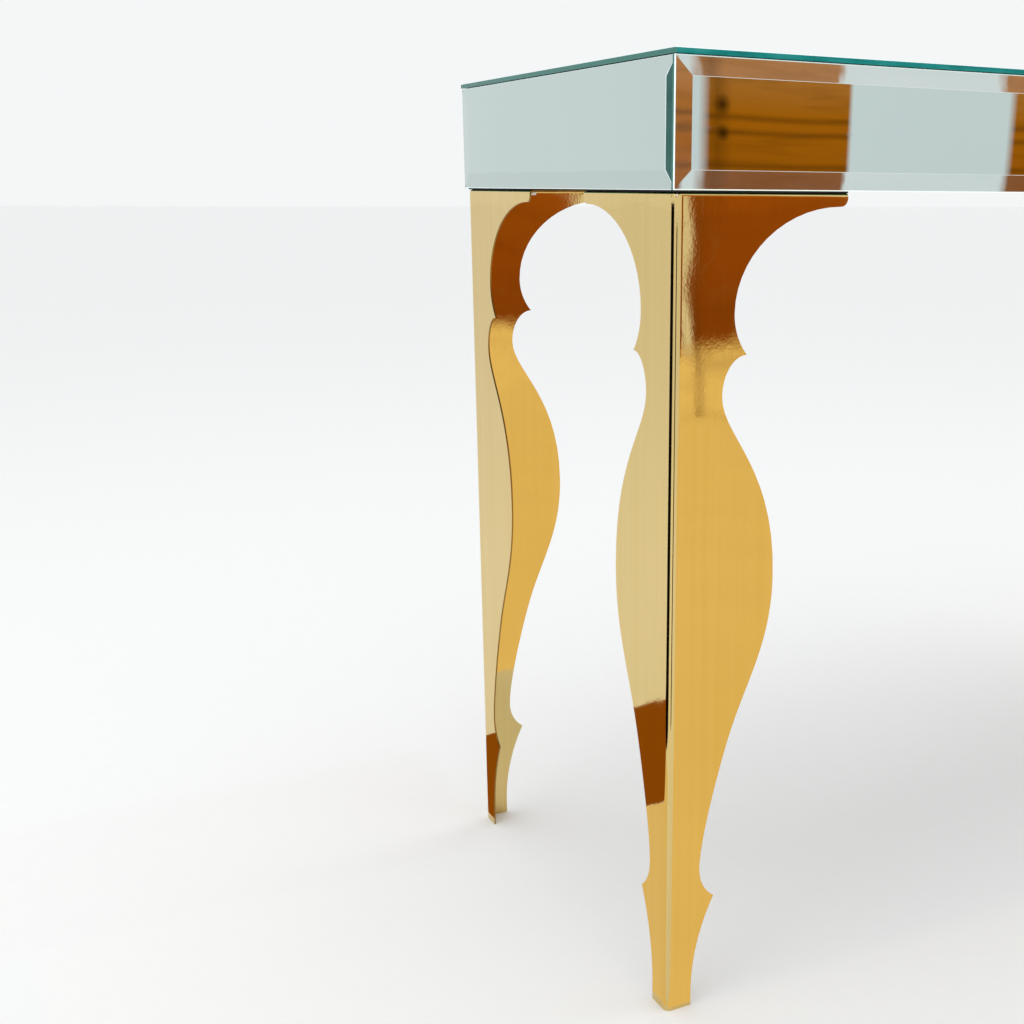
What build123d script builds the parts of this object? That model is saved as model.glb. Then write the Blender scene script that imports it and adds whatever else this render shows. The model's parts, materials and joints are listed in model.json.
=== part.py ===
from build123d import *
import os

# Mirrored vanity table: a shallow wooden box clad in bevelled mirror under a glass top, standing on
# four open legs folded from polished sheet metal. All lengths are in millimetres.
# Origin: centre of the footprint, on the floor. +X runs along the table, +Y to its back, +Z up.

# Driving dimensions of the whole table
WIDTH = 1000.0
DEPTH = 410.0
HEIGHT = 750.0
APRON_BOTTOM = 657.0        # height of the lower edge of the mirrors

# Glass
TOP_GLASS = 4.0             # thickness of the top
GLASS_LIP = 0.7             # how far the top stands proud of the mirrors
GLASS_ARRIS = 0.6           # ground edges of the top
GLASS_CORNER = 2.5          # corner radius of the top, seen from above
GLASS_BED = 0.4             # pads under the top, which leave a thin dark line
MIRROR = 4.0                # thickness of the mirror panels
MIRROR_BED = 1.0            # adhesive pads behind the mirrors
MIRROR_CORNER = 3.0         # corner radius of the panels
BEVEL = 13.0                # width of the bevel
BEVEL_DROP = 1.6            # thickness that the bevel takes off at the panel's edge
PANEL_GAP = 0.2             # joint between the front and side panels

# Wooden box
BOARD = 12.0                # top and bottom boards
RAIL = 18.0                 # rails
BLOCK = 40.0                # side of the square corner blocks
CROSS_RAIL_X = 165.0        # the two cross rails stand this far from the middle
PILOT_GAP = 0.05            # radial room round shanks and dowels

# Legs
SHEET = 1.5
BEND = 6.0                  # outer radius of the vertical bend and of the top fold
LEG_INSET = 2.7             # from the mirror face to the outer face of a leg
PAD = 1.2                   # black pad between the flange and the box
PAD_SETBACK = 0.6           # the pad's edge stands this far inside the leg's face
FLANGE = 26.0               # depth of the flange, from the leg's outer face
ARM = 148.0                 # length of a plate along the box
NOTCH = 3.2                 # relief at the corner, where bend and fold would meet
MITRE_GAP = 0.5             # hairline between the two flanges of a leg

# Free edge of a leg plate, each as (distance from the bend, height)
ARM_TIP_HEIGHT = 9.8        # depth of the arm at its end
ARM_TIP_RADIUS = 6.0
HAUNCH = (50.7, 571.0)      # where the big curve under the arm is nearest the bend
BEAK = (62.2, 540.2)        # pointed upper cusp
NECK = (41.6, 510.5)
SHOULDER = (70.6, 452.0)
BELLY = (91.8, 364.0)
CALF = (68.4, 272.0)
SHIN = (40.4, 187.0)
ANKLE = (29.8, 125.0)
SPUR = (43.6, 97.5)         # pointed lower cusp
FOOT = (23.5, 14.0)         # the foot is straight below this point

# Fasteners
LEG_SCREW = 2.5             # shank radius of an M5 machine screw
LEG_SCREW_LENGTH = 25.0
LEG_SCREW_HEAD = (4.75, 2.75)       # radius, height
LEG_SCREW_DOME = 2.2                # rounding of the head
LEG_SCREW_SOCKET = (3.0, 1.6)       # across the flats, depth
LEG_SCREW_PLACES = (45.0, 125.0)    # along an arm, from the leg's corner
LEG_HOLE = 2.8              # clearance hole through flange, pad and board
INSERT = 4.0                # outer radius of a threaded insert
INSERT_LENGTH = 12.0
INSERT_BORE = 2.55
WOOD_SCREW = (1.9, 3.8, 30.0)       # shank radius, head radius, length
LONG_SCREW = (2.4, 4.6, 50.0)
BACK_SCREW = (1.4, 2.8, 16.0)
CROSS_SLOT = (0.9, 1.2)     # width of the cross recess, and its length in head radii
BOARD_SCREWS_X = (-260, -90, 90, 260)       # in the front and back rails
BOARD_SCREWS_Y = (-30, 30)                  # in the end rails
RAIL_SCREWS_Z = (-9, 20)                    # from the middle of the rails
BACK_SCREWS_X = (-440, -220, 0, 220, 440)
DOWEL = (4.0, 30.0)         # radius, length

# Adhesive pads
FRONT_PAD = (90.0, 45.0)    # length, height
FRONT_PADS_X = (-415, -249, -83, 83, 249, 415)
SIDE_PAD = (70.0, 45.0)
SIDE_PADS_Y = (-120, 0, 120)
TOP_PAD = (60.0, 40.0)
TOP_PADS_X = (-420, -210, 0, 210, 420)
TOP_PADS_Y = (-150, 0, 150)

# Places worked out from the driving dimensions
FACE_X = WIDTH / 2 - GLASS_LIP              # outer faces of the mirrors
FACE_Y = DEPTH / 2 - GLASS_LIP
BOX_X = FACE_X - MIRROR - MIRROR_BED        # outer faces of the wooden box
BOX_Y = FACE_Y - MIRROR - MIRROR_BED
TOP_UNDERSIDE = HEIGHT - TOP_GLASS
BOX_TOP = TOP_UNDERSIDE - GLASS_BED
RAIL_BOTTOM = APRON_BOTTOM + BOARD
RAIL_HEIGHT = BOX_TOP - BOARD - RAIL_BOTTOM
RAIL_MIDDLE = RAIL_BOTTOM + RAIL_HEIGHT / 2
RAIL_X = BOX_X - RAIL / 2                   # centre lines of the rails
RAIL_Y = BOX_Y - RAIL / 2
CLEAR_DEPTH = 2 * (BOX_Y - RAIL)            # between the front and back rails
LEG_X = FACE_X - LEG_INSET                  # outer faces of the legs
LEG_Y = FACE_Y - LEG_INSET
LEG_TOP = APRON_BOTTOM - PAD
FLANGE_UNDERSIDE = LEG_TOP - SHEET

UP = (Align.CENTER, Align.CENTER, Align.MIN)        # a primitive that stands on its origin

LEG_CORNERS = {
    "front_left": (-1, -1),
    "front_right": (1, -1),
    "back_left": (-1, 1),
    "back_right": (1, 1),
}


def box_between(low, high):
    """A box from its lowest to its highest corner."""
    size = [b - a for a, b in zip(low, high)]
    middle = [(a + b) / 2 for a, b in zip(low, high)]
    return Pos(*middle) * Box(*size)


def group(solids):
    """Separate solids kept together as one sub-part."""
    return Compound(children=list(solids))


def to_corner(shape, side_x, side_y):
    """Mirror a front-left shape into the corner given by the two signs."""
    if side_x > 0:
        shape = shape.mirror(Plane.YZ)
    if side_y > 0:
        shape = shape.mirror(Plane.XZ)
    return shape


# ---------------------------------------------------------------- fasteners

def csk_screw(kind, tip, direction):
    """Countersunk screw with its head's face at tip, driven along direction."""
    shank, head, length = kind
    cone = head - shank
    body = Pos(0, 0, cone) * Cylinder(shank, length - cone, align=UP)
    body += Cone(head, shank, cone, align=UP)
    width, reach = CROSS_SLOT
    slot = Box(reach * head, width, 2 * width)
    body -= slot + Rot(0, 0, 90) * slot
    return Plane(origin=tip, z_dir=direction) * body


def csk_hole(kind, tip, direction):
    """The space that a countersunk screw takes, with a little room round it."""
    shank, head, length = kind
    cone = head - shank
    hole = Cylinder(shank + PILOT_GAP, length + 1, align=UP)
    hole += Cone(head + PILOT_GAP, shank + PILOT_GAP, cone, align=UP)
    return Plane(origin=tip, z_dir=direction) * hole


def board_screw_places():
    """Where the top and bottom boards are screwed to the rails."""
    places = [(x, y) for x in BOARD_SCREWS_X for y in (-RAIL_Y, RAIL_Y)]
    places += [(x, y) for x in (-RAIL_X, RAIL_X) for y in BOARD_SCREWS_Y]
    places += [(x, 0) for x in (-CROSS_RAIL_X, CROSS_RAIL_X)]
    return places


def rail_joint_places():
    """Upright rails that butt against the front and back rails: (x, sign of y)."""
    return [(x, side) for x in (-RAIL_X, -CROSS_RAIL_X, CROSS_RAIL_X, RAIL_X) for side in (-1, 1)]


def rail_screw_places():
    """Head position and direction of each long screw through the front and back rails."""
    heights = [RAIL_MIDDLE + z for z in RAIL_SCREWS_Z]
    return [((x, side * BOX_Y, z), (0, -side, 0)) for x, side in rail_joint_places() for z in heights]


def back_screw_places():
    """Head position of each screw through the back panel."""
    return [(x, FACE_Y, RAIL_MIDDLE) for x in BACK_SCREWS_X]


def leg_screw_places():
    """Screws of the front-left leg, in table coordinates."""
    along_x = [(-LEG_X + place, -RAIL_Y) for place in LEG_SCREW_PLACES]
    along_y = [(-RAIL_X, -LEG_Y + place) for place in LEG_SCREW_PLACES]
    return along_x + along_y


def leg_drill(radius, bottom, top):
    """Upright drillings at all sixteen leg screws."""
    drillings = []
    for x, y in leg_screw_places():
        for side_x, side_y in LEG_CORNERS.values():
            drill = Cylinder(radius, top - bottom, align=UP)
            drillings.append(Pos(-side_x * x, -side_y * y, bottom) * drill)
    return drillings


def dowel_drill(gap):
    """Dowels across the joints between rails, with a radial gap round each."""
    radius, length = DOWEL
    dowel = Rot(90, 0, 0) * Cylinder(radius + gap, length + 2 * gap)
    joint_y = BOX_Y - RAIL
    return [Pos(x, side * joint_y, RAIL_MIDDLE) * dowel for x, side in rail_joint_places()]


# ---------------------------------------------------------------- glass and mirrors

def top_glass():
    """Flat glass with rounded corners and ground arrises."""
    outline = RectangleRounded(WIDTH, DEPTH, GLASS_CORNER)
    glass = extrude(Pos(0, 0, TOP_UNDERSIDE) * outline, TOP_GLASS)
    rims = glass.faces().sort_by(Axis.Z)[0].edges() + glass.faces().sort_by(Axis.Z)[-1].edges()
    return chamfer(rims, GLASS_ARRIS)


def mirror_panel(length, height, corners):
    """A bevelled pane lying on XY with its bevelled face up; corners are the rounded ones."""
    edge = MIRROR - BEVEL_DROP
    base = Rectangle(length, height)
    rounded = [v for v in base.vertices() if (v.X > 0) in corners]
    if rounded:
        base = fillet(rounded, MIRROR_CORNER)
    low = extrude(base, edge)
    field = Rectangle(length - 2 * BEVEL, height - 2 * BEVEL)
    high = loft([Pos(0, 0, edge) * Rectangle(length, height), Pos(0, 0, MIRROR) * field])
    return low + (high & extrude(base, MIRROR))


def front_mirror():
    """Runs the whole length, so its ends show beside the side panels."""
    height = BOX_TOP - APRON_BOTTOM
    pane = mirror_panel(2 * FACE_X, height, ())
    middle = (0, MIRROR - FACE_Y, APRON_BOTTOM + height / 2)
    return Plane(origin=middle, x_dir=(1, 0, 0), z_dir=(0, -1, 0)) * pane


def side_mirror(side):
    """Runs from behind the front panel to the rounded corners at the back."""
    height = BOX_TOP - APRON_BOTTOM
    front = -FACE_Y + MIRROR + PANEL_GAP
    pane = mirror_panel(FACE_Y - front, height, (side > 0,))
    middle = ((FACE_X - MIRROR) * side, (FACE_Y + front) / 2, APRON_BOTTOM + height / 2)
    return Plane(origin=middle, x_dir=(0, side, 0), z_dir=(side, 0, 0)) * pane


def mirror_pads():
    """Adhesive pads between the mirrors and the box."""
    front_pad = Box(FRONT_PAD[0], MIRROR_BED, FRONT_PAD[1])
    side_pad = Box(MIRROR_BED, SIDE_PAD[0], SIDE_PAD[1])
    pads = [Pos(x, -BOX_Y - MIRROR_BED / 2, RAIL_MIDDLE) * front_pad for x in FRONT_PADS_X]
    for side in (-1, 1):
        pads += [Pos(side * (BOX_X + MIRROR_BED / 2), y, RAIL_MIDDLE) * side_pad for y in SIDE_PADS_Y]
    return group(pads)


def top_pads():
    """Adhesive pads between the top board and the glass."""
    pad = Box(*TOP_PAD, GLASS_BED, align=UP)
    return group(Pos(x, y, BOX_TOP) * pad for x in TOP_PADS_X for y in TOP_PADS_Y)


# ---------------------------------------------------------------- wooden box

def top_board():
    board = box_between((-BOX_X, -BOX_Y, BOX_TOP - BOARD), (BOX_X, BOX_Y, BOX_TOP))
    return board - [csk_hole(WOOD_SCREW, (x, y, BOX_TOP), (0, 0, -1)) for x, y in board_screw_places()]


def bottom_board():
    board = box_between((-BOX_X, -BOX_Y, APRON_BOTTOM), (BOX_X, BOX_Y, RAIL_BOTTOM))
    board -= [csk_hole(WOOD_SCREW, (x, y, APRON_BOTTOM), (0, 0, 1)) for x, y in board_screw_places()]
    return board - leg_drill(LEG_HOLE, APRON_BOTTOM - 1, RAIL_BOTTOM + 1)


def all_rail_drillings():
    """Every hole that the rails share: board screws, long screws, dowels and leg inserts."""
    holes = [csk_hole(WOOD_SCREW, (x, y, BOX_TOP), (0, 0, -1)) for x, y in board_screw_places()]
    holes += [csk_hole(WOOD_SCREW, (x, y, APRON_BOTTOM), (0, 0, 1)) for x, y in board_screw_places()]
    holes += [csk_hole(LONG_SCREW, place, direction) for place, direction in rail_screw_places()]
    holes += [csk_hole(BACK_SCREW, place, (0, -1, 0)) for place in back_screw_places()]
    holes += dowel_drill(PILOT_GAP)
    return holes + leg_drill(INSERT + PILOT_GAP, RAIL_BOTTOM - 1, RAIL_BOTTOM + INSERT_LENGTH + 1)


def drilled_rails():
    """The six rails by name: two long ones, two ends and two cross rails between them."""
    long_rail = (2 * BOX_X, RAIL, RAIL_HEIGHT)
    short_rail = (RAIL, CLEAR_DEPTH, RAIL_HEIGHT)
    blanks = {
        "front_rail": (0, -RAIL_Y, long_rail),
        "back_rail": (0, RAIL_Y, long_rail),
        "left_rail": (-RAIL_X, 0, short_rail),
        "right_rail": (RAIL_X, 0, short_rail),
        "cross_rail_left": (-CROSS_RAIL_X, 0, short_rail),
        "cross_rail_right": (CROSS_RAIL_X, 0, short_rail),
    }
    holes = all_rail_drillings()
    return {name: Pos(x, y, RAIL_MIDDLE) * Box(*size) - holes for name, (x, y, size) in blanks.items()}


def board_screws(height, direction):
    """Screws through the top or the bottom board."""
    return group(csk_screw(WOOD_SCREW, (x, y, height), direction) for x, y in board_screw_places())


def corner_block(side_x, side_y):
    """Square glue block with its inner edge taken off."""
    x = BOX_X - RAIL - BLOCK / 2
    y = BOX_Y - RAIL - BLOCK / 2
    block = Box(BLOCK, BLOCK, RAIL_HEIGHT)
    inner_edge = block.edges().filter_by(Axis.Z).sort_by(lambda e: e.center().X + e.center().Y)[-1]
    block = chamfer(inner_edge, BLOCK / 2)
    return to_corner(Pos(-x, -y, RAIL_MIDDLE) * block, side_x, side_y)


def back_panel():
    """Plain painted cover between the rear ends of the side mirrors."""
    panel = box_between((-BOX_X, BOX_Y, APRON_BOTTOM), (BOX_X, FACE_Y, BOX_TOP))
    return panel - [csk_hole(BACK_SCREW, place, (0, -1, 0)) for place in back_screw_places()]


# ---------------------------------------------------------------- legs

def plate_outline():
    """Outline of one flat leg plate: X is the distance from the bend, Y the height."""
    arm_under = LEG_TOP - ARM_TIP_HEIGHT
    curve_centre = ARM - ARM_TIP_RADIUS
    big_curve = EllipticalCenterArc((curve_centre, HAUNCH[1]), curve_centre - HAUNCH[0],
                                    arm_under - HAUNCH[1], start_angle=90, arc_size=90)
    scoop = EllipticalCenterArc((BEAK[0], NECK[1]), BEAK[0] - NECK[0], BEAK[1] - NECK[1],
                                start_angle=90, arc_size=90)
    edge = [
        Line((0, LEG_TOP), (ARM, LEG_TOP)),
        Line((ARM, LEG_TOP), (ARM, arm_under + ARM_TIP_RADIUS)),
        TangentArc((ARM, arm_under + ARM_TIP_RADIUS), (curve_centre, arm_under), tangent=(0, -1)),
        big_curve,
        TangentArc(HAUNCH, BEAK, tangent=(0, -1)),
        scoop,
        Spline(NECK, SHOULDER, BELLY, CALF, SHIN, ANKLE, tangents=((0, -1), (0, -1))),
        TangentArc(ANKLE, SPUR, tangent=(0, -1)),
        TangentArc(FOOT, SPUR, tangent=(0, 1)),
        Line(FOOT, (FOOT[0], 0)),
        Line((FOOT[0], 0), (0, 0)),
        Line((0, 0), (0, LEG_TOP)),
    ]
    return make_face(edge)


def flange_fold():
    """One arm's fold and flange along +X, with its mitred and relieved corner end."""
    fold_start = LEG_TOP - BEND
    face = make_face(Polyline((0, fold_start), (0, LEG_TOP), (FLANGE, LEG_TOP), (FLANGE, FLANGE_UNDERSIDE),
                              (SHEET, FLANGE_UNDERSIDE), (SHEET, fold_start), close=True))
    face = fillet(face.vertices().group_by(Axis.Y)[-1].sort_by(Axis.X)[0], BEND)
    inner = [v for v in face.vertices() if abs(v.X - SHEET) < 0.01 and abs(v.Y - FLANGE_UNDERSIDE) < 0.01]
    face = fillet(inner, BEND - SHEET)
    across_arm = Plane(origin=(0, 0, 0), x_dir=(0, 1, 0), z_dir=(1, 0, 0))
    fold = extrude(across_arm * face, ARM)
    corner = Polyline((-1, -1), (NOTCH, -1), (NOTCH, NOTCH - MITRE_GAP),
                      (FLANGE + 1 + MITRE_GAP, FLANGE + 1), (-1, FLANGE + 1), close=True)
    return fold - extrude(Pos(0, 0, fold_start - 1) * make_face(corner), BEND + 2)


def leg_sheet():
    """The front-left leg in its own frame: outer corner at the origin, plates along +X and +Y."""
    diagonal = Plane(origin=(0, 0, 0), z_dir=(1, -1, 0))
    angle = make_face(Polyline((0, 0), (ARM, 0), (ARM, SHEET), (SHEET, SHEET), (SHEET, ARM), (0, ARM),
                               close=True))
    angle = fillet([v for v in angle.vertices() if v.X < 0.01 and v.Y < 0.01], BEND)
    inside = [v for v in angle.vertices() if abs(v.X - SHEET) < 0.01 and abs(v.Y - SHEET) < 0.01]
    angle = fillet(inside, BEND - SHEET)
    plates = extrude(angle, LEG_TOP - BEND)
    fold = flange_fold()
    plates += [fold, fold.mirror(diagonal)]
    template = extrude(Plane.XZ * plate_outline(), -ARM)
    return plates & template & template.mirror(diagonal)


def drilled_leg(side_x, side_y):
    leg = Pos(-LEG_X, -LEG_Y, 0) * leg_sheet()
    hole = Cylinder(LEG_HOLE, 4 * SHEET)
    leg -= [Pos(x, y, LEG_TOP) * hole for x, y in leg_screw_places()]
    return to_corner(leg, side_x, side_y)


def leg_pad(side_x, side_y):
    """Black pad of the flanges' shape, drilled for the screws."""
    outer = PAD_SETBACK
    corner = Polyline((outer, outer), (ARM, outer), (ARM, FLANGE), (FLANGE, FLANGE), (FLANGE, ARM),
                      (outer, ARM), close=True)
    pad = extrude(Pos(-LEG_X, -LEG_Y, LEG_TOP) * make_face(corner), PAD)
    hole = Cylinder(LEG_HOLE, 3 * PAD)
    pad -= [Pos(x, y, LEG_TOP) * hole for x, y in leg_screw_places()]
    return to_corner(pad, side_x, side_y)


def leg_screws(side_x, side_y):
    """Button-head machine screws with a hexagon socket, head down."""
    head_radius, head_height = LEG_SCREW_HEAD
    flats, socket_depth = LEG_SCREW_SOCKET
    head = Cylinder(head_radius, head_height, align=UP)
    head = fillet(head.faces().sort_by(Axis.Z)[0].edges(), LEG_SCREW_DOME)
    head -= extrude(RegularPolygon(flats / 2, 6, major_radius=False), socket_depth)
    shank = Pos(0, 0, head_height) * Cylinder(LEG_SCREW, LEG_SCREW_LENGTH, align=UP)
    screw = Pos(0, 0, FLANGE_UNDERSIDE - head_height) * (head + shank)
    return group(to_corner(Pos(x, y, 0) * screw, side_x, side_y) for x, y in leg_screw_places())


def leg_inserts():
    """Threaded brass sleeves pressed into the rails above the leg screws."""
    sleeves = leg_drill(INSERT, RAIL_BOTTOM, RAIL_BOTTOM + INSERT_LENGTH)
    bores = leg_drill(INSERT_BORE, RAIL_BOTTOM - 1, RAIL_BOTTOM + INSERT_LENGTH + 1)
    return group(sleeve - bore for sleeve, bore in zip(sleeves, bores))


# ---------------------------------------------------------------- the table

parts = {
    "top_glass": top_glass(),
    "front_mirror": front_mirror(),
    "left_mirror": side_mirror(-1),
    "right_mirror": side_mirror(1),
    "mirror_pads": mirror_pads(),
    "top_pads": top_pads(),
    "top_board": top_board(),
    "bottom_board": bottom_board(),
    "back_panel": back_panel(),
    "leg_inserts": leg_inserts(),
    "rail_dowels": group(dowel_drill(0)),
    "rail_screws": group(csk_screw(LONG_SCREW, place, way) for place, way in rail_screw_places()),
    "back_screws": group(csk_screw(BACK_SCREW, place, (0, -1, 0)) for place in back_screw_places()),
    "top_board_screws": board_screws(BOX_TOP, (0, 0, -1)),
    "bottom_board_screws": board_screws(APRON_BOTTOM, (0, 0, 1)),
}
parts.update(drilled_rails())
for corner, signs in LEG_CORNERS.items():
    parts["corner_block_" + corner] = corner_block(*signs)
    parts["leg_" + corner] = drilled_leg(*signs)
    parts["leg_pad_" + corner] = leg_pad(*signs)
    parts["leg_screws_" + corner] = leg_screws(*signs)

os.makedirs("parts", exist_ok=True)
for node, shape in parts.items():
    export_step(shape, "parts/" + node + ".step")
    print(node, round(shape.volume))
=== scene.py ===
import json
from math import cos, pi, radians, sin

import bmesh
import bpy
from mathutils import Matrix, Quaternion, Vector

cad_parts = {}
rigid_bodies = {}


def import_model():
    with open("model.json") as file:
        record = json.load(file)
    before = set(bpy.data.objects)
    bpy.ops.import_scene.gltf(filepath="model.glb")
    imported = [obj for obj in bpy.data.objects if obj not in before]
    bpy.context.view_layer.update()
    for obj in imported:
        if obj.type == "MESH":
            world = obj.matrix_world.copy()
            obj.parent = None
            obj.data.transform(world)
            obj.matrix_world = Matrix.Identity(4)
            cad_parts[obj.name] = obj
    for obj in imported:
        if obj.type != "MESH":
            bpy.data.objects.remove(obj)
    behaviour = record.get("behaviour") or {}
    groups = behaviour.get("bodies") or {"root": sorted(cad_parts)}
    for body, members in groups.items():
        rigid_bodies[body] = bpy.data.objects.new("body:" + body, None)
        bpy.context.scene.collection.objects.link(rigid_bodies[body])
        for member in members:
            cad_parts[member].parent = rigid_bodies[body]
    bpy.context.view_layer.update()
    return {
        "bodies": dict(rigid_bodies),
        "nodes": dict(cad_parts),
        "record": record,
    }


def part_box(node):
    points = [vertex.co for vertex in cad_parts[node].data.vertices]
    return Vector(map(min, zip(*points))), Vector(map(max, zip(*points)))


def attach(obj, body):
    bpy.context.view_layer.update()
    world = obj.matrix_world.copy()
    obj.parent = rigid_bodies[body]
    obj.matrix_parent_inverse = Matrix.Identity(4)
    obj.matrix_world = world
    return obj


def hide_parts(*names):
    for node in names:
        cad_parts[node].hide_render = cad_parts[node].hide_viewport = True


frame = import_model()

# %% [markdown]
# # A mirrored vanity table
#
# The table is a shallow wooden box clad in bevelled mirror, under a glass top, on four legs folded
# from polished gold-coloured sheet. The frame above is the engineering model. This script keeps its
# sizes, replaces the glass and the legs by finer meshes, and gives every part its finish.
#

MM = 0.001
scene = bpy.context.scene
nodes = frame["nodes"]


# %% [markdown]
# ## The camera
#
# The table is seen from its left front corner, from the height of the box's lower edge, looking
# down a little. A shift in the lens puts the table right of the middle without turning the camera,
# which would change the perspective.

# %% The camera
CAMERA_PLACE = Vector((-0.9618, -1.0284, 0.6577))
CAMERA_LOOK = Vector((0.4611, 0.8439, -0.2742))
CAMERA_ROLL = radians(0.491)
CAMERA_LENS = 46.255
CAMERA_SHIFT = (-0.1400, 0.0508)

camera = bpy.data.objects.new("camera", bpy.data.cameras.new("camera"))
scene.collection.objects.link(camera)
scene.camera = camera
camera.data.lens = CAMERA_LENS
camera.data.shift_x, camera.data.shift_y = CAMERA_SHIFT
camera.data.clip_end = 200
camera.location = CAMERA_PLACE
camera.rotation_mode = "QUATERNION"
camera.rotation_quaternion = CAMERA_LOOK.to_track_quat("-Z", "Y") @ Quaternion((0, 0, 1), CAMERA_ROLL)
scene.view_settings.view_transform = "Standard"


# %% [markdown]
# ## Shader maths as Python
#
# A material is a small network of nodes. Writing it node by node hides the idea, so a socket is
# wrapped in a class whose operators add Math nodes. `1 - mask` then builds what it says. Every
# other node comes from one method that is given the node's type, its settings and its inputs.

# %% Sockets with operators
class Wire:
    """An output socket that can be added, subtracted and multiplied."""

    def __init__(self, tree, socket):
        self.tree = tree
        self.socket = socket

    def math(self, operation, first, second=0.0, clamp=False):
        settings = {"operation": operation, "use_clamp": clamp}
        return self.tree.node("ShaderNodeMath", settings, {0: first, 1: second})["Value"]

    def __add__(self, other):
        return self.math("ADD", self, other)

    def __radd__(self, other):
        return self.math("ADD", other, self)

    def __sub__(self, other):
        return self.math("SUBTRACT", self, other)

    def __rsub__(self, other):
        return self.math("SUBTRACT", other, self)

    def __mul__(self, other):
        return self.math("MULTIPLY", self, other)

    def __rmul__(self, other):
        return self.math("MULTIPLY", other, self)

    def size(self):
        return self.math("ABSOLUTE", self)

    def clamped(self):
        return self.math("ADD", self, 0.0, clamp=True)


class Finish:
    """A material whose nodes are added by `node` and whose surface is set by `surface`."""

    def __init__(self, name):
        self.material = bpy.data.materials.new(name)
        self.material.use_nodes = True
        self.nodes = self.material.node_tree.nodes
        self.links = self.material.node_tree.links
        self.nodes.clear()

    def node(self, kind, settings=None, inputs=None):
        made = self.nodes.new(kind)
        for name, value in (settings or {}).items():
            if name == "stops":
                self.set_stops(made.color_ramp, value)
            else:
                setattr(made, name, value)
        for name, value in (inputs or {}).items():
            if isinstance(value, Wire):
                self.links.new(value.socket, made.inputs[name])
            else:
                made.inputs[name].default_value = value
        return Outputs(self, made)

    @staticmethod
    def set_stops(ramp, stops):
        while len(ramp.elements) < len(stops):
            ramp.elements.new(0.5)
        for element, (place, colour) in zip(ramp.elements, stops):
            element.position = place
            element.color = (*colour, 1.0)

    def place(self, scale=(1, 1, 1), turn=(0, 0, 0)):
        """Object coordinates in metres, turned and stretched."""
        coordinates = self.node("ShaderNodeTexCoord")["Object"]
        return self.node("ShaderNodeMapping", None, {"Vector": coordinates, "Scale": scale,
                                                     "Rotation": turn})["Vector"]

    def noise(self, where, scale, detail=3.0, roughness=0.5, distortion=0.0):
        inputs = {"Vector": where, "Scale": scale, "Detail": detail, "Roughness": roughness,
                  "Distortion": distortion}
        return self.node("ShaderNodeTexNoise", None, inputs)["Fac"]

    def ramp(self, value, stops):
        """A value turned into a colour by stops of (place, colour)."""
        return self.node("ShaderNodeValToRGB", {"stops": stops}, {"Fac": value})["Color"]

    def between(self, value, low, high):
        """0 below low, 1 above high, straight between."""
        inputs = {"Value": value, "From Min": low, "From Max": high, "To Min": 0.0, "To Max": 1.0}
        return self.node("ShaderNodeMapRange", {"clamp": True}, inputs)["Result"]

    def mix(self, mask, first, second):
        """The first colour where the mask is 0, the second where it is 1."""
        inputs = {"Factor": mask, "A": first, "B": second}
        made = self.node("ShaderNodeMix", {"data_type": "RGBA"})
        for name, value in inputs.items():
            socket = [s for s in made.made.inputs if s.name == name and s.enabled][0]
            if isinstance(value, Wire):
                self.links.new(value.socket, socket)
            else:
                socket.default_value = value if name == "Factor" else (*value, 1.0)
        return Wire(self, [s for s in made.made.outputs if s.enabled][0])

    def bump(self, height, distance, strength=1.0, after=None):
        inputs = {"Height": height, "Distance": distance, "Strength": strength}
        if after is not None:
            inputs["Normal"] = after
        return self.node("ShaderNodeBump", None, inputs)["Normal"]

    def surface(self, **inputs):
        """The shader. Underscores in a name stand for spaces."""
        named = {name.replace("_", " "): value for name, value in inputs.items()}
        for name in ("Base Color", "Emission Color", "Specular Tint", "Coat Tint", "Sheen Tint"):
            if name in named and not isinstance(named[name], Wire):
                named[name] = (*named[name], 1.0)
        shader = self.node("ShaderNodeBsdfPrincipled", None, named)["BSDF"]
        self.node("ShaderNodeOutputMaterial", None, {"Surface": shader})
        return self.material


class Outputs:
    """The outputs of a node, by name."""

    def __init__(self, tree, made):
        self.tree = tree
        self.made = made

    def __getitem__(self, name):
        return Wire(self.tree, self.made.outputs[name])


# %% [markdown]
# ## Floor, light and reflections
#
# A mirror and a polished sheet have almost no colour of their own. They show the room. So the
# studio has a pale floor, a pale sky and two soft lamps, and beside them a few cards that only
# reflections can see: a wooden screen that stands to the right in front, warm and dark stretches of
# floor, and narrow flags. They work like the cards that a studio holds up beside a shiny object.

# %% The floor
FLOOR_SIZE = 90.0


def floor_finish():
    paint = Finish("pale_floor")
    where = paint.place()
    grain = paint.noise(where, 60.0, 4.0)
    colour = paint.mix(grain, (0.93, 0.93, 0.93), (0.96, 0.96, 0.96))
    return paint.surface(Base_Color=colour, Roughness=0.75, Specular_IOR_Level=0.2,
                         Normal=paint.bump(grain, 0.0008, 0.5))


def plane_object(name, corners, material):
    """A flat four-cornered piece from its corners."""
    mesh = bpy.data.meshes.new(name)
    shape = bmesh.new()
    shape.faces.new([shape.verts.new(corner) for corner in corners])
    shape.to_mesh(mesh)
    shape.free()
    mesh.materials.append(material)
    made = bpy.data.objects.new(name, mesh)
    scene.collection.objects.link(made)
    return made


half = FLOOR_SIZE / 2
plane_object("floor", [(-half, -half, 0), (half, -half, 0), (half, half, 0), (-half, half, 0)],
             floor_finish())


# %% The sky
SKY = (0.915, 0.925, 0.93)

world = bpy.data.worlds.new("studio")
scene.world = world
world.use_nodes = True
background = world.node_tree.nodes["Background"]
background.inputs["Color"].default_value = (*SKY, 1.0)
background.inputs["Strength"].default_value = 1.0


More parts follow.
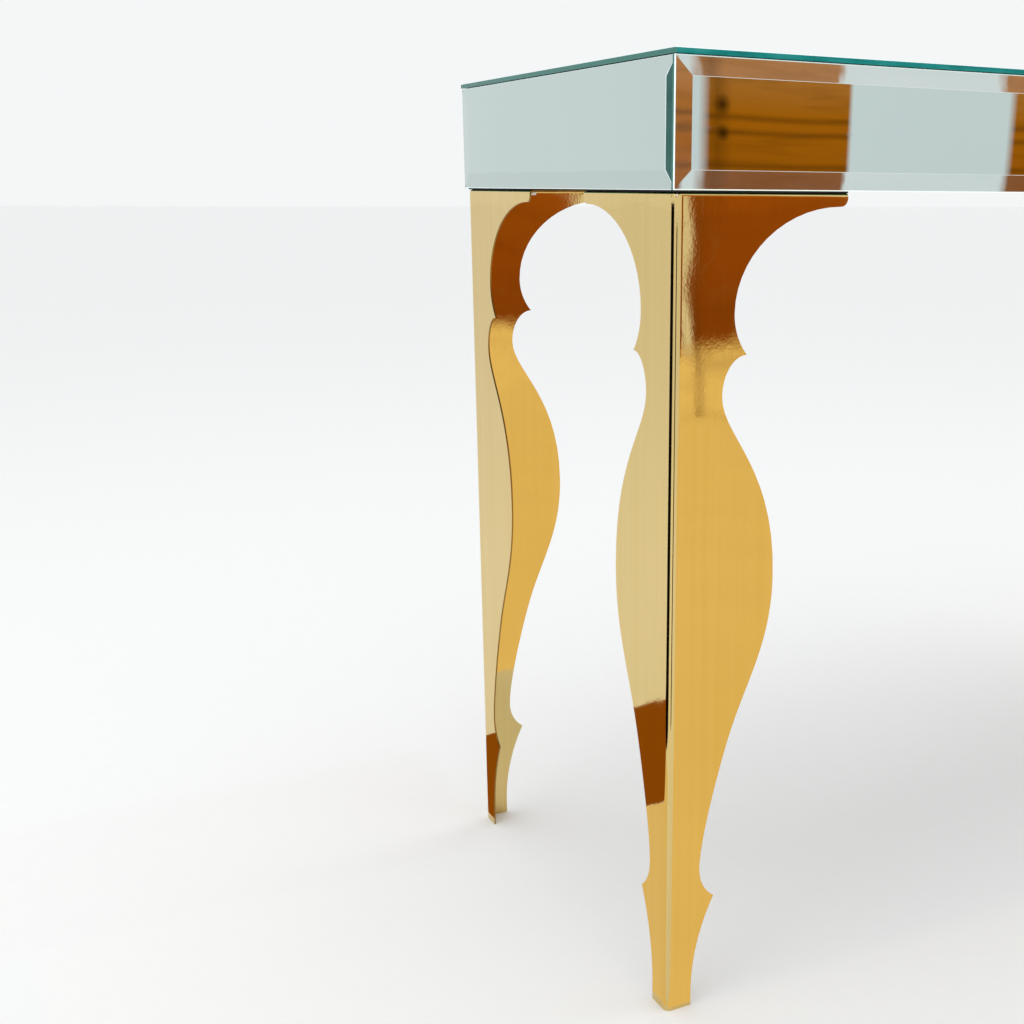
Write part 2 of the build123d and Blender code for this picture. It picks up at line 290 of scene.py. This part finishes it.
# %% The lamps
def softbox(name, place, target, size, power):
    lamp = bpy.data.lights.new(name, "AREA")
    lamp.shape = "RECTANGLE"
    lamp.size, lamp.size_y = size
    lamp.energy = power
    made = bpy.data.objects.new(name, lamp)
    scene.collection.objects.link(made)
    made.location = place
    made.rotation_mode = "QUATERNION"
    made.rotation_quaternion = (Vector(target) - Vector(place)).to_track_quat("-Z", "Y")


softbox("lamp_top", (0.0, 0.0, 3.2), (0, 0, 0.5), (3.0, 2.0), 12)
softbox("lamp_left", (-2.8, -0.6, 2.2), (0, 0, 0.5), (1.6, 1.6), 8)


# %% Cards that only reflections see
FLOOR_CARD_HEIGHT = 0.002


def glow(card, colour):
    light = card.node("ShaderNodeEmission", None, {"Color": colour, "Strength": 1.0})["Emission"]
    card.node("ShaderNodeOutputMaterial", None, {"Surface": light})
    return card.material


def plain_card(name, colour, grain=0.1):
    """A card of one colour with a slight cloudiness."""
    card = Finish(name)
    clouds = card.noise(card.place(), 5.0)
    shade = tuple(channel * (1 - grain) for channel in colour)
    return glow(card, card.mix(clouds, colour, shade))


def reflection_card(name, corners, material):
    made = plane_object(name, corners, material)
    made.visible_camera = False
    made.visible_diffuse = False
    made.visible_shadow = False
    made.visible_transmission = False
    return made


def floor_card(name, x_range, y_range, material):
    """A card lying just above the floor."""
    (x0, x1), (y0, y1) = x_range, y_range
    z = FLOOR_CARD_HEIGHT
    return reflection_card(name, [(x0, y0, z), (x1, y0, z), (x1, y1, z), (x0, y1, z)], material)


def upright_card(name, start, end, height, material, foot=0.0):
    """A standing card from one point of the floor to another."""
    (x0, y0), (x1, y1) = start, end
    corners = [(x0, y0, foot), (x0, y0, height), (x1, y1, height), (x1, y1, foot)]
    return reflection_card(name, corners, material)


# %% The wooden screen
SCREEN_Y = -2.7
SCREEN_TOP = 2.4
WARM_FLOOR = (1.06, 0.84, 0.44)
BOARD_JOINTS = (0.722, 0.812, 0.852)
KNOTS = ((1.055, 0.884, 0.034), (1.058, 0.808, 0.026))      # across, height, radius
SHADED_STRIP = 1.04


def wooden_screen():
    """Boards with two knots, and pale gaps between the boards. The edges are soft, as if out of focus."""
    wood = Finish("wooden_screen")
    spot = wood.node("ShaderNodeTexCoord")["Object"]
    parts = wood.node("ShaderNodeSeparateXYZ", None, {"Vector": spot})
    across, height = parts["X"], parts["Z"]
    boards = wood.ramp(height * (1 / SCREEN_TOP), [
        (0.085, WARM_FLOOR), (0.100, (0.30, 0.075, 0.004)), (0.27, (0.40, 0.11, 0.008)),
        (0.30, (0.50, 0.13, 0.003)), (0.36, (0.56, 0.155, 0.004)), (0.41, (0.62, 0.22, 0.04)),
        (0.60, (0.58, 0.21, 0.05))])
    streak = wood.noise(wood.place(scale=(2.0, 1.0, 24.0)), 1.0, 4.0, 0.55, 0.8)
    boards = wood.mix(wood.between(streak, 0.48, 0.75) * 0.35, boards, (0.16, 0.045, 0.002))
    for line in BOARD_JOINTS:
        joint = 1 - wood.between((height - line).size(), 0.002, 0.014)
        boards = wood.mix(joint * 0.45, boards, (0.10, 0.03, 0.002))
    for x, z, size in KNOTS:
        reach = wood.node("ShaderNodeVectorMath", {"operation": "DISTANCE"},
                          {0: spot, 1: (x, SCREEN_Y, z)})["Value"]
        boards = wood.mix((1 - wood.between(reach, 0.004, size)) * 0.9, boards, (0.015, 0.008, 0.001))
    shade = 1 - wood.between((across - SHADED_STRIP).size(), 0.0, 0.05)
    boards = wood.mix(shade * 0.5, boards, (0.14, 0.04, 0.002))
    gaps = wood.between(across, 0.925, 0.94) * (1 - wood.between(across, 0.975, 1.015))
    gaps = gaps + wood.between(across, 1.483, 1.500) * (1 - wood.between(across, 2.11, 2.145))
    above_floor = wood.between(height, 0.19, 0.24)
    return glow(wood, wood.mix((gaps * above_floor).clamped(), boards, SKY))


upright_card("screen_card", (0.1, SCREEN_Y), (3.4, SCREEN_Y), SCREEN_TOP, wooden_screen())


# %% Warm floor, dark band and flags
FLAG_TOP = 0.645
STAND_TOP = 0.62
TEAL_FLAG_RANGE = (0.66, 1.1)

floor_card("floor_card", (-0.5, 3.4), (SCREEN_Y, -0.203), plain_card("warm_floor", WARM_FLOOR))
floor_card("foot_floor_card", (-0.95, -0.5), (-0.203, 0.139), plain_card("warm_corner", (0.98, 0.80, 0.44)))
floor_card("dark_floor_card", (-1.6, -0.5), (0.140, 0.402), plain_card("dark_band", (0.33, 0.10, 0.004)))
upright_card("black_flag_card", (-0.841, 0.290), (-1.097, -0.212), FLAG_TOP,
             plain_card("black_flag", (0.006, 0.005, 0.004)))
upright_card("stand_card", (-0.98, -0.55), (-0.90, -0.66), STAND_TOP,
             plain_card("dark_stand", (0.10, 0.05, 0.02)))
upright_card("teal_flag_card", (-1.55, 0.895), (-1.27, 1.075), TEAL_FLAG_RANGE[1],
             plain_card("teal_flag", (0.050, 0.165, 0.150)), TEAL_FLAG_RANGE[0])


# %% [markdown]
# ## Finishes
#
# Polished gold-coloured sheet is a metal with almost no roughness. What makes it look real is what
# disturbs the reflection: slow waves from rolling and folding, a fine orange peel, faint wiping
# scratches and finger marks. Waves and peel are bumps. Scratches and marks change the roughness.

# %% Polished gold sheet
GOLD = (0.735, 0.555, 0.235)
GOLD_DEEP = (0.705, 0.53, 0.20)
GOLD_ROLLED = (0.69, 0.50, 0.17)


def gold_finish():
    gold = Finish("polished_gold_sheet")
    where = gold.place()
    tone = gold.between(gold.noise(where, 5.0, 3.0), 0.35, 0.7)
    colour = gold.mix(tone, GOLD, GOLD_DEEP)
    rolling = gold.between(gold.noise(gold.place(scale=(170.0, 170.0, 2.0)), 1.0, 3.0, 0.6), 0.40, 0.72)
    colour = gold.mix(rolling * 0.5, colour, GOLD_ROLLED)
    smudge = gold.between(gold.noise(where, 38.0, 4.0, 0.6, 0.6), 0.52, 0.8)
    long_way = gold.place(scale=(900.0, 900.0, 12.0), turn=(radians(4), radians(-3), 0))
    scratch = gold.between(gold.noise(long_way, 1.0, 2.0), 0.66, 0.78)
    roughness = (smudge * 0.07 + scratch * 0.06 + 0.035).clamped()
    waves = gold.noise(gold.place(scale=(1.0, 1.0, 0.55)), 9.0, 2.0, 0.45)
    peel = gold.noise(where, 420.0, 2.0)
    normal = gold.bump(waves, 0.0035, 0.35)
    normal = gold.bump(peel, 0.00002, 0.5, normal)
    return gold.surface(Base_Color=colour, Metallic=1.0, Roughness=roughness, Normal=normal)


def cut_edge_finish():
    """The laser-cut edge of the sheet: darker and rougher than its faces, with fine striations."""
    edge = Finish("cut_edge_of_sheet")
    lines = edge.noise(edge.place(), 900.0, 2.0)
    colour = edge.mix(lines, (0.20, 0.10, 0.02), (0.46, 0.28, 0.08))
    return edge.surface(Base_Color=colour, Metallic=1.0, Roughness=lines * 0.2 + 0.3,
                        Normal=edge.bump(lines, 0.0001, 0.6))


gold_sheet = gold_finish()
cut_edge = cut_edge_finish()


# %% [markdown]
# Silvered glass is a metal-like mirror seen through slightly green glass. The bevel of a mirror is
# bounded by polished ridges. They are drawn as pale lines with a slight glow, a painted highlight.
# The glass itself shows green at its ground edges, and at the short ends the green is greyed by a
# painted reflection of the pale room.

# %% Mirror, ridges and glass edges
def mirror_finish():
    glass = Finish("silvered_mirror")
    where = glass.place()
    tone = glass.between(glass.noise(where, 3.0, 2.0), 0.3, 0.7)
    colour = glass.mix(tone, (0.575, 0.675, 0.655), (0.555, 0.650, 0.630))
    dust = glass.between(glass.noise(where, 650.0, 2.0), 0.70, 0.80)
    streak = glass.between(glass.noise(glass.place(scale=(20.0, 20.0, 160.0)), 1.0, 3.0), 0.55, 0.8)
    waves = glass.noise(where, 6.0, 1.0)
    roughness = (dust * 0.10 + streak * 0.03 + 0.008).clamped()
    return glass.surface(Base_Color=colour, Metallic=1.0, Roughness=roughness,
                         Normal=glass.bump(waves, 0.0008, 0.2))


def ridge_finish(name, highlight_glow_strength):
    """A polished edge, drawn pale and made to glow a little: a painted highlight."""
    ridge = Finish(name)
    fine = ridge.noise(ridge.place(), 300.0, 2.0)
    colour = ridge.mix(fine, (0.66, 0.78, 0.80), (0.80, 0.90, 0.92))
    return ridge.surface(Base_Color=colour, Metallic=0.35, Roughness=fine * 0.2 + 0.25,
                         Emission_Color=colour, Emission_Strength=highlight_glow_strength)


def glass_edge_finish():
    edge = Finish("green_glass_edge")
    bands = edge.noise(edge.place(scale=(14.0, 14.0, 260.0)), 1.0, 4.0, 0.6)
    spots = edge.noise(edge.place(), 90.0, 3.0)
    colour = edge.ramp(bands * 0.6 + spots * 0.4, [
        (0.30, (0.000, 0.150, 0.140)), (0.52, (0.002, 0.240, 0.225)), (0.72, (0.030, 0.300, 0.280))])
    parts = edge.node("ShaderNodeSeparateXYZ", None, {"Vector": edge.node("ShaderNodeTexCoord")["Object"]})
    # The short ends are mixed towards a greyer green, a painted reflection of the pale room.
    short_end_painted_reflection = edge.between(parts["X"].size(), 0.4982, 0.4990)
    colour = edge.mix(short_end_painted_reflection * 0.8, colour, (0.085, 0.200, 0.165))
    return edge.surface(Base_Color=colour, Roughness=spots * 0.15 + 0.25, IOR=1.52, Specular_IOR_Level=0.12,
                        Normal=edge.bump(spots, 0.0002, 0.3))


def bevel_finish():
    """The polished bevel: the same silvering, hazed a little by the polishing."""
    glass = Finish("bevelled_mirror")
    where = glass.place()
    haze = glass.between(glass.noise(glass.place(scale=(6.0, 6.0, 40.0)), 1.0, 4.0, 0.6), 0.35, 0.7)
    colour = glass.mix(haze, (0.60, 0.69, 0.67), (0.66, 0.73, 0.71))
    specks = glass.between(glass.noise(where, 520.0, 2.0), 0.70, 0.80)
    return glass.surface(Base_Color=colour, Metallic=0.97 - haze * 0.05, Roughness=specks * 0.2 + 0.015,
                         Normal=glass.bump(glass.noise(where, 30.0, 2.0), 0.0003, 0.2))


mirror_glass = mirror_finish()
bevelled_mirror = bevel_finish()
# Both ridge finishes are a painted highlight: a pale colour and a slight glow, stronger on the arris.
ridge_painted_highlight = ridge_finish("ridge_painted_highlight", 0.10)
arris_painted_highlight = ridge_finish("arris_painted_highlight", 0.45)
glass_edge = glass_edge_finish()


# %% [markdown]
# The other finishes hardly show: black pad and lacquer under the box, raw board and softwood inside
# it, brass sleeves and plated screws.

# %% Board, wood, rubber and screws
def wood_finish(name, light, dark, along, ring=22.0):
    wood = Finish(name)
    scale = tuple(2.0 if axis == along else ring for axis in "XYZ")
    where = wood.place(scale=scale)
    grain = wood.noise(where, 1.0, 5.0, 0.6, 1.6)
    pores = wood.noise(wood.place(scale=tuple(8 * s for s in scale)), 1.0, 3.0)
    colour = wood.mix(wood.between(grain, 0.35, 0.68), light, dark)
    return wood.surface(Base_Color=colour, Roughness=pores * 0.2 + 0.5, Normal=wood.bump(pores, 0.0006, 0.4))


def board_finish():
    board = Finish("raw_fibreboard")
    fibres = board.noise(board.place(scale=(1.0, 1.0, 3.0)), 380.0, 4.0, 0.7)
    colour = board.mix(fibres, (0.36, 0.24, 0.13), (0.52, 0.37, 0.22))
    return board.surface(Base_Color=colour, Roughness=0.85, Normal=board.bump(fibres, 0.0004, 0.5))


def lacquer_finish():
    lacquer = Finish("black_lacquer")
    where = lacquer.place()
    peel = lacquer.noise(where, 260.0, 3.0)
    dust = lacquer.between(lacquer.noise(where, 800.0, 2.0), 0.72, 0.8)
    colour = lacquer.mix(dust, (0.018, 0.017, 0.016), (0.10, 0.10, 0.095))
    return lacquer.surface(Base_Color=colour, Roughness=peel * 0.12 + 0.3, Coat_Weight=0.25,
                           Coat_Roughness=0.2, Normal=lacquer.bump(peel, 0.0003, 0.35))


def rubber_finish(name, colour_low, colour_high):
    rubber = Finish(name)
    pitting = rubber.noise(rubber.place(), 900.0, 4.0, 0.7)
    colour = rubber.mix(pitting, colour_low, colour_high)
    return rubber.surface(Base_Color=colour, Roughness=0.8, Normal=rubber.bump(pitting, 0.0002, 0.6))


def metal_finish(name, light, dark, roughness):
    metal = Finish(name)
    turned = metal.noise(metal.place(scale=(1.0, 1.0, 4.0)), 700.0, 3.0)
    colour = metal.mix(turned, dark, light)
    return metal.surface(Base_Color=colour, Metallic=1.0, Roughness=turned * 0.15 + roughness,
                         Normal=metal.bump(turned, 0.0001, 0.4))


finish_of_slot = {
    "top_glass": mirror_glass,
    "mirror": mirror_glass,
    "gold_sheet": gold_sheet,
    "black_pad": rubber_finish("black_pad_rubber", (0.004, 0.004, 0.004), (0.02, 0.02, 0.02)),
    "adhesive": rubber_finish("mirror_adhesive", (0.44, 0.44, 0.40), (0.60, 0.60, 0.55)),
    "fibreboard": board_finish(),
    "black_board": lacquer_finish(),
    "rail_wood": wood_finish("planed_softwood", (0.70, 0.52, 0.32), (0.50, 0.32, 0.16), "X"),
    "beech": wood_finish("turned_beech", (0.68, 0.50, 0.32), (0.55, 0.38, 0.22), "Y", 60.0),
    "insert_brass": metal_finish("turned_brass", (0.78, 0.58, 0.25), (0.60, 0.42, 0.16), 0.2),
    "screw_steel": metal_finish("zinc_plated_screw", (0.70, 0.70, 0.72), (0.48, 0.48, 0.50), 0.22),
    "black_screw": metal_finish("black_oxide_screw", (0.06, 0.06, 0.06), (0.02, 0.02, 0.02), 0.35),
}

slot_of_node = {row["node"]: row["material_slot"] for row in frame["record"]["subparts"]}
for name, node in nodes.items():
    node.data.materials.clear()
    node.data.materials.append(finish_of_slot[slot_of_node[name]])
print("finishes on", len(nodes), "frame nodes")


# %% [markdown]
# ## Helpers for new pieces
#
# Every new piece is built where it stands, so its object stays at the origin. A piece names the
# frame node that it replaces and rides on the table's only body.

# %% Making a piece
BODY = list(frame["bodies"])[0]


def finish_piece(name, shape, materials, replaced, smooth_angle=30):
    """Turns a bmesh into an object that stands for a frame node."""
    mesh = bpy.data.meshes.new(name)
    shape.normal_update()
    shape.to_mesh(mesh)
    shape.free()
    for material in materials:
        mesh.materials.append(material)
    for face in mesh.polygons:
        face.use_smooth = True
    mesh.set_sharp_from_angle(angle=radians(smooth_angle))
    piece = bpy.data.objects.new(name, mesh)
    scene.collection.objects.link(piece)
    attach(piece, BODY)
    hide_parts(replaced)
    print(name, len(mesh.vertices), "points")
    return piece


def node_size(name):
    low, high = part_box(name)
    return Vector(low), Vector(high)


# %% [markdown]
# ## The mirror panels
#
# Each panel is flat glass with a bevel ground on all four edges and silver on its back. Light
# passes the bevel twice, and the wedge of glass turns it by about half as much as a silvered
# surface of the same slope would. The panel here is silvered on its face, so its bevel gets half
# the slope. The panel starts as a box. Its front face is inset by the width of the bevel, the rim
# is lowered, and the ridges between the flats are bevelled into narrow strips of their own. On a
# side panel only the ridges at its front end are drawn that way, and its front end is trimmed.

# %% Bevelled mirror
BEVEL_WIDTH = 13.5 * MM
BEVEL_FALL = 0.85 * MM
ARRIS_WIDTH = 0.8 * MM
CORNER_RADIUS = 3.0 * MM
TRIM = 4.5 * MM
FRONT_RIDGE = 0.7 * MM
SIDE_RIDGE = 1.2 * MM
LEVEL_RIDGE = 0.16 * MM
FLAT, RIDGE, EDGE, SLOPE, ARRIS = 0, 1, 2, 3, 4


def bevel_edges(shape, edges, offset, segments=1, material=-1):
    return bmesh.ops.bevel(shape, geom=edges, offset=offset, offset_type="OFFSET", segments=segments,
                           profile=0.5, affect="EDGES", material=material, clamp_overlap=True)


def box_shape(low, high):
    shape = bmesh.new()
    bmesh.ops.create_cube(shape, size=1.0)
    bmesh.ops.scale(shape, vec=high - low, verts=shape.verts)
    bmesh.ops.translate(shape, vec=(low + high) / 2, verts=shape.verts)
    return shape


def mirror_panel(node, outward, ridge_width, side):
    """A bevelled panel that fills a node's box; outward is the way its face looks."""
    low, high = node_size(node)
    outward = Vector(outward)
    if side:
        low = low - Vector((0, TRIM, 0))
    shape = box_shape(low, high)
    for face in shape.faces:
        face.material_index = EDGE
    field = max(shape.faces, key=lambda f: f.calc_center_median().dot(outward))
    field.material_index = FLAT
    slopes = bmesh.ops.inset_region(shape, faces=[field], thickness=BEVEL_WIDTH,
                                    use_even_offset=True)["faces"]
    for slope in slopes:
        slope.material_index = SLOPE
    rim = {v for slope in slopes for v in slope.verts} - set(field.verts)
    bmesh.ops.translate(shape, vec=-outward * BEVEL_FALL, verts=list(rim))
    if side:
        corners = [e for e in shape.edges if e.verts[0].co.y > high.y - MM and e.verts[1].co.y > high.y - MM
                   and abs((e.verts[0].co - e.verts[1].co).x) > MM]
        bevel_edges(shape, corners, CORNER_RADIUS, segments=6, material=EDGE)
    shape.normal_update()
    slope_edges = {e for f in shape.faces if f.material_index == SLOPE for e in f.edges}
    ridges = [e for e in slope_edges if all(f.material_index in (SLOPE, FLAT) for f in e.link_faces)]
    level = [e for e in ridges if abs(e.verts[0].co.z - e.verts[1].co.z) < MM]
    strong = [e for e in ridges if e not in level]
    if side:
        field_front = low.y + BEVEL_WIDTH
        strong = [e for e in strong if max(v.co.y for v in e.verts) < field_front + MM]
        for face in shape.faces:
            if face.material_index == SLOPE and face.calc_center_median().y > field_front:
                face.material_index = FLAT
    else:
        bevel_edges(shape, level, LEVEL_RIDGE, material=RIDGE)
        strong = [e for e in strong if e.is_valid]
    bevel_edges(shape, strong, ridge_width / 2, material=RIDGE)
    arris = [e for e in shape.edges if {EDGE} < {f.material_index for f in e.link_faces}]
    rear = [e for e in arris if side and min(v.co.y for v in e.verts) > high.y - 2 * CORNER_RADIUS]
    bevel_edges(shape, [e for e in arris if e not in rear], ARRIS_WIDTH, material=ARRIS)
    if side:
        everything = shape.verts[:] + shape.edges[:] + shape.faces[:]
        cut = bmesh.ops.bisect_plane(shape, geom=everything, plane_co=low + Vector((0, TRIM, 0)),
                                     plane_no=(0, -1, 0), clear_outer=True)["geom_cut"]
        rim = [e for e in cut if isinstance(e, bmesh.types.BMEdge)]
        for face in bmesh.ops.holes_fill(shape, edges=rim, sides=0)["faces"]:
            face.material_index = EDGE
    return shape


for node, outward, ridge_width, side in (("front_mirror", (0, -1, 0), FRONT_RIDGE, False),
                                         ("left_mirror", (-1, 0, 0), SIDE_RIDGE, True),
                                         ("right_mirror", (1, 0, 0), SIDE_RIDGE, True)):
    panel = mirror_panel(node, outward, ridge_width, side)
    finish_piece(node + "_panel", panel, [mirror_glass, ridge_painted_highlight, glass_edge, bevelled_mirror,
                                          arris_painted_highlight], node, 1)


# %% [markdown]
# ## The glass top
#
# The top is a silvered sheet of its own. Only its ground edge is seen from the side, a green band
# with a polished arris above and a dark one below, so the band gets its own material. The corners
# are rounded a little, as they are on any glass that people touch.

# %% The glass top
TOP_CORNER = 2.5 * MM
TOP_ARRIS = 0.5 * MM


def top_pane():
    low, high = node_size("top_glass")
    shape = box_shape(low, high)
    upright = [e for e in shape.edges if abs(e.verts[0].co.z - e.verts[1].co.z) > (high - low).z / 2]
    bevel_edges(shape, upright, TOP_CORNER, segments=8)
    for face in shape.faces:
        face.material_index = FLAT if abs(face.normal.z) > 0.9 else EDGE
    rims = [e for e in shape.edges if {f.material_index for f in e.link_faces} == {FLAT, EDGE}]
    upper = [e for e in rims if e.verts[0].co.z > high.z - MM]
    lower = [e for e in rims if e.verts[0].co.z < low.z + MM]
    # The upper arris takes the pale, glowing ridge finish, a painted highlight.
    bevel_edges(shape, upper, TOP_ARRIS, material=RIDGE)
    bevel_edges(shape, [e for e in lower if e.is_valid], TOP_ARRIS, material=EDGE)
    return shape


finish_piece("top_glass_pane", top_pane(), [mirror_glass, ridge_painted_highlight, glass_edge], "top_glass", 35)


# %% [markdown]
# ## The legs
#
# A real leg starts as a flat blank cut from sheet, two plates side by side with a shaped outline.
# It is folded once down the middle, and the top of each plate is folded inwards as a flange. The
# model is made the same way. A curve draws the outline of half the blank, a mirror operator makes
# the other half, cuts are laid where the folds will be, and a formula rolls the flat points round
# the folds. Solidify then gives the thickness, and a small bevel breaks the cut edges.

# %% Sizes of a leg; its top and its arm are read from its frame node
SHEET = 1.5 * MM
BEND_RADIUS = 6.0 * MM
FOLD_RADIUS = 3.0 * MM
FLANGE_DEPTH = 26 * MM
ARM_TIP_HEIGHT = 9.8 * MM
ARM_TIP_RADIUS = 6 * MM
MITRE_GAP = 0.5 * MM
NOTCH_DEPTH = 3.8 * MM
TIP_HANDLE = 4 * MM
ROUND_HANDLE = 0.5523          # handle of a Bezier quarter circle, as a share of its radius
MERGE = 0.02 * MM
CUT_MARGINS = (0.4 * MM, 2.5 * MM)
LEG_ARRIS = 0.22 * MM

leg_low, leg_high = node_size("leg_front_left")
LEG_TOP = leg_high.z
ARM = leg_high.x - leg_low.x
QUARTER = BEND_RADIUS * pi / 2
FOLD_QUARTER = FOLD_RADIUS * pi / 2
SLACK = BEND_RADIUS - QUARTER / 2       # a corner is this much longer than the bend in the flat
print("leg", LEG_TOP, ARM)

# Knots of the free edge: distance from the corner, height, handle before, handle after, in mm
LEG_EDGE = [
    ((142.0, 646.0), (3.3, 0), (-50.4, 0)),
    ((50.7, 571.0), (0, 41.4), (0, -11.3)),
    ((62.2, 540.2), (-7.4, 8.5), (-11.4, 0)),
    ((41.6, 510.5), (0, 16.4), (0, -30.2)),
    ((91.8, 364.0), (0, 90.7), (0, -55.7)),
    ((54.5, 236.0), (14.5, 44.5), (-5.3, -16.2)),
    ((29.8, 125.0), (0, 29.4), (0, -10.8)),
    ((43.6, 97.5), (-8.7, 6.5), (-13.2, -25.9)),
    ((23.5, 14.0), (0, 29.0), (0, -4.0)),
]


def blank_outline():
    """A flat curve round half of the blank, in the XZ plane, with X as the distance in the flat."""
    fold_end = LEG_TOP - FOLD_RADIUS + FOLD_QUARTER
    top = fold_end + FLANGE_DEPTH - FOLD_RADIUS
    straight = [
        (0.0, LEG_TOP - NOTCH_DEPTH),
        (FOLD_RADIUS + MITRE_GAP - SLACK, fold_end),
        (FLANGE_DEPTH + MITRE_GAP - SLACK, top),
        (ARM - SLACK, top),
        (ARM - SLACK, LEG_TOP - ARM_TIP_HEIGHT + ARM_TIP_RADIUS),
    ]
    foot = LEG_EDGE[-1][0][0] * MM - SLACK
    points = [(Vector((x, 0, z)), None, None) for x, z in straight]
    tip_handle = ARM_TIP_RADIUS * ROUND_HANDLE
    corner = points[-1][0]
    points[-1] = (corner, Vector((0, 0, TIP_HANDLE)), Vector((0, 0, -tip_handle)))
    for (w, z), before, after in LEG_EDGE:
        points.append((Vector((w * MM - SLACK, 0, z * MM)), Vector((before[0], 0, before[1])) * MM,
                       Vector((after[0], 0, after[1])) * MM))
    points += [(Vector((foot, 0, 0)), None, None), (Vector((0, 0, 0)), None, None)]
    return points


def curve_mesh(points, resolution):
    """Bezier outline turned into a flat mesh of edges; the caller fills it."""
    curve = bpy.data.curves.new("outline", "CURVE")
    curve.dimensions = "3D"
    curve.resolution_u = resolution
    spline = curve.splines.new("BEZIER")
    spline.bezier_points.add(len(points) - 1)
    spline.use_cyclic_u = True
    for knot, (place, before, after) in zip(spline.bezier_points, points):
        knot.co = place
        if before is None:
            knot.handle_left_type = knot.handle_right_type = "VECTOR"
        else:
            knot.handle_left_type = knot.handle_right_type = "FREE"
            knot.handle_left = place + before
            knot.handle_right = place + after
    carrier = bpy.data.objects.new("outline", curve)
    scene.collection.objects.link(carrier)
    bpy.context.view_layer.update()
    mesh = bpy.data.meshes.new_from_object(carrier)
    bpy.data.objects.remove(carrier)
    return mesh


def flat_blank():
    """The whole blank as one flat sheet in the XZ plane."""
    shape = bmesh.new()
    shape.from_mesh(curve_mesh(blank_outline(), 14))
    bmesh.ops.remove_doubles(shape, verts=shape.verts, dist=MERGE)
    bmesh.ops.contextual_create(shape, geom=shape.edges)
    half_blank = shape.faces[:] + shape.edges[:] + shape.verts[:]
    bmesh.ops.mirror(shape, geom=half_blank, axis="X", merge_dist=MERGE)
    bmesh.ops.recalc_face_normals(shape, faces=shape.faces)
    return shape


def cut_blank(shape):
    """Lays cuts across the blank where it will be folded."""
    half_bend = QUARTER / 2
    bend_cuts = [half_bend * step / 8 for step in range(-8, 9)]
    bend_cuts += [side * (half_bend + margin) for side in (-1, 1) for margin in CUT_MARGINS]
    fold_start = LEG_TOP - FOLD_RADIUS
    fold_cuts = [fold_start + FOLD_QUARTER * step / 10 for step in range(11)]
    fold_cuts += [fold_start - margin for margin in CUT_MARGINS]
    fold_cuts += [fold_start + FOLD_QUARTER + CUT_MARGINS[0]]
    cuts = [(Vector((x, 0, 0)), Vector((1, 0, 0))) for x in bend_cuts]
    cuts += [(Vector((0, 0, z)), Vector((0, 0, 1))) for z in fold_cuts]
    for place, across in cuts:
        everything = shape.verts[:] + shape.edges[:] + shape.faces[:]
        bmesh.ops.bisect_plane(shape, geom=everything, dist=0.01 * MM, plane_co=place, plane_no=across)


def folded(flat):
    """Where a point of the flat blank lies on the folded leg, its corner at the origin."""
    rise = flat.z - (LEG_TOP - FOLD_RADIUS)
    if rise <= 0:
        inward, height = 0.0, flat.z
    elif rise <= FOLD_QUARTER:
        angle = rise / FOLD_RADIUS
        inward, height = FOLD_RADIUS * (1 - cos(angle)), LEG_TOP - FOLD_RADIUS * (1 - sin(angle))
    else:
        inward, height = FOLD_RADIUS + rise - FOLD_QUARTER, LEG_TOP
    along = abs(flat.x)
    if along >= QUARTER / 2:
        x, y = along + SLACK, inward
    else:
        angle = along / BEND_RADIUS - pi / 4
        x = BEND_RADIUS + (BEND_RADIUS - inward) * sin(angle)
        y = BEND_RADIUS - (BEND_RADIUS - inward) * cos(angle)
    return Vector((x, y, height)) if flat.x >= 0 else Vector((y, x, height))


def leg_shape():
    shape = flat_blank()
    cut_blank(shape)
    for point in shape.verts:
        point.co = folded(point.co)
    bmesh.ops.recalc_face_normals(shape, faces=shape.faces)
    lookout = max(shape.faces, key=lambda f: f.calc_area())
    if lookout.normal.x + lookout.normal.y > 0:
        bmesh.ops.reverse_faces(shape, faces=shape.faces)
    return shape


# %% Legs in the four corners
def add_leg(corner, side_x, side_y):
    node = "leg_" + corner
    low, high = node_size(node)
    shape = leg_shape()
    turn = Matrix.Diagonal((-side_x, -side_y, 1, 1))
    origin = Vector((low.x if side_x < 0 else high.x, low.y if side_y < 0 else high.y, 0))
    bmesh.ops.transform(shape, matrix=Matrix.Translation(origin) @ turn, verts=shape.verts)
    if side_x * side_y < 0:
        bmesh.ops.reverse_faces(shape, faces=shape.faces)
    leg = finish_piece(node + "_sheet", shape, [gold_sheet, cut_edge], node, 50)
    wall = leg.modifiers.new("sheet", "SOLIDIFY")
    wall.thickness = SHEET
    wall.offset = -1
    wall.use_even_offset = True
    wall.material_offset_rim = 1
    arris = leg.modifiers.new("arris", "BEVEL")
    arris.width = LEG_ARRIS
    arris.segments = 2
    arris.limit_method = "ANGLE"
    arris.angle_limit = radians(55)
    arris.harden_normals = True


for corner, side_x, side_y in (("front_left", -1, -1), ("front_right", 1, -1),
                               ("back_left", -1, 1), ("back_right", 1, 1)):
    add_leg(corner, side_x, side_y)
